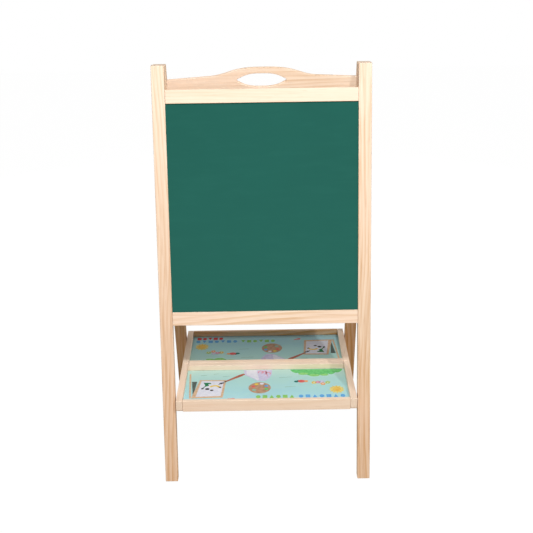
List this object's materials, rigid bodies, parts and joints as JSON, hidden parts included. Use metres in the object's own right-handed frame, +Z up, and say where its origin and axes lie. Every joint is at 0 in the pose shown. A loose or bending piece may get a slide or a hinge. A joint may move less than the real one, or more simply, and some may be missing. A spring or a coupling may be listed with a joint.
{
  "type": "folding children's easel",
  "caption": "Folding two-sided wooden children's easel with a chalkboard, a whiteboard, a carrying handle and a folding storage tray between the frames.",
  "frame": {"origin": "on the floor, midway between the four feet", "axes": "+Z up, the chalkboard faces -Y, the whiteboard faces +Y, +X is to the right when facing the chalkboard"},
  "size_m": [0.45, 0.3924, 0.8778],
  "materials": {
    "pine": "clear matt lacquer on planed pine",
    "chalkboard": "matt green chalkboard paint on hardboard",
    "whiteboard": "gloss dry-erase laminate on hardboard",
    "tray_print": "satin printed hardboard",
    "steel": "zinc-plated"
  },
  "bodies": {
    "front_frame": {"chalkboard": "chalkboard", "front_bottom_rail": "pine", "front_hinge_leaf_left": "steel", "front_hinge_leaf_right": "steel", "front_hinge_screw_1_left": "steel", "front_hinge_screw_1_right": "steel", "front_hinge_screw_2_left": "steel", "front_hinge_screw_2_right": "steel", "front_leg_left": "pine", "front_leg_right": "pine", "front_lower_screw_left": "steel", "front_lower_screw_right": "steel", "front_pivot_bolt_left": "steel", "front_pivot_bolt_right": "steel", "front_pivot_sleeve_left": "steel", "front_pivot_sleeve_right": "steel", "front_top_rail": "pine", "front_upper_screw_left": "steel", "front_upper_screw_right": "steel", "hinge_pin_left": "steel", "hinge_pin_right": "steel"},
    "back_frame": {"back_bottom_rail": "pine", "back_hinge_leaf_left": "steel", "back_hinge_leaf_right": "steel", "back_hinge_screw_1_left": "steel", "back_hinge_screw_1_right": "steel", "back_hinge_screw_2_left": "steel", "back_hinge_screw_2_right": "steel", "back_leg_left": "pine", "back_leg_right": "pine", "back_lower_screw_left": "steel", "back_lower_screw_right": "steel", "back_pivot_bolt_left": "steel", "back_pivot_bolt_right": "steel", "back_pivot_sleeve_left": "steel", "back_pivot_sleeve_right": "steel", "back_upper_screw_left": "steel", "back_upper_screw_right": "steel", "handle_board": "pine", "whiteboard": "whiteboard", "whiteboard_screw_left": "steel", "whiteboard_screw_right": "steel"},
    "front_tray": {"front_tray_end_wall": "pine", "front_tray_floor": "tray_print", "front_tray_hinge_leaf_left": "steel", "front_tray_hinge_leaf_right": "steel", "front_tray_middle_wall": "pine", "front_tray_side_left": "pine", "front_tray_side_right": "pine", "tray_hinge_pin_left": "steel", "tray_hinge_pin_right": "steel"},
    "back_tray": {"back_tray_end_wall": "pine", "back_tray_floor": "tray_print", "back_tray_hinge_leaf_left": "steel", "back_tray_hinge_leaf_right": "steel", "back_tray_middle_wall": "pine", "back_tray_side_left": "pine", "back_tray_side_right": "pine"}
  },
  "joints": [
    {"name": "fold", "type": "hinge", "parent": "front_frame", "child": "back_frame", "pos_m": [0, 0, 0.8718], "axis": [-1, 0, 0], "range_deg": [0, 22.5]},
    {"name": "front_tray_pivot", "type": "hinge", "parent": "front_frame", "child": "front_tray", "pos_m": [0, -0.15221, 0.17481], "axis": [1, 0, 0], "range_deg": [0, 78.75]},
    {"name": "tray_knee", "type": "hinge", "parent": "front_tray", "child": "back_tray", "pos_m": [0, 0, 0.1615], "axis": [-1, 0, 0], "range_deg": [0, 180]}
  ],
  "couplings": [
    {"joint": "front_tray_pivot", "follows": "fold", "ratio": 3.5},
    {"joint": "tray_knee", "follows": "fold", "ratio": 8}
  ]
}
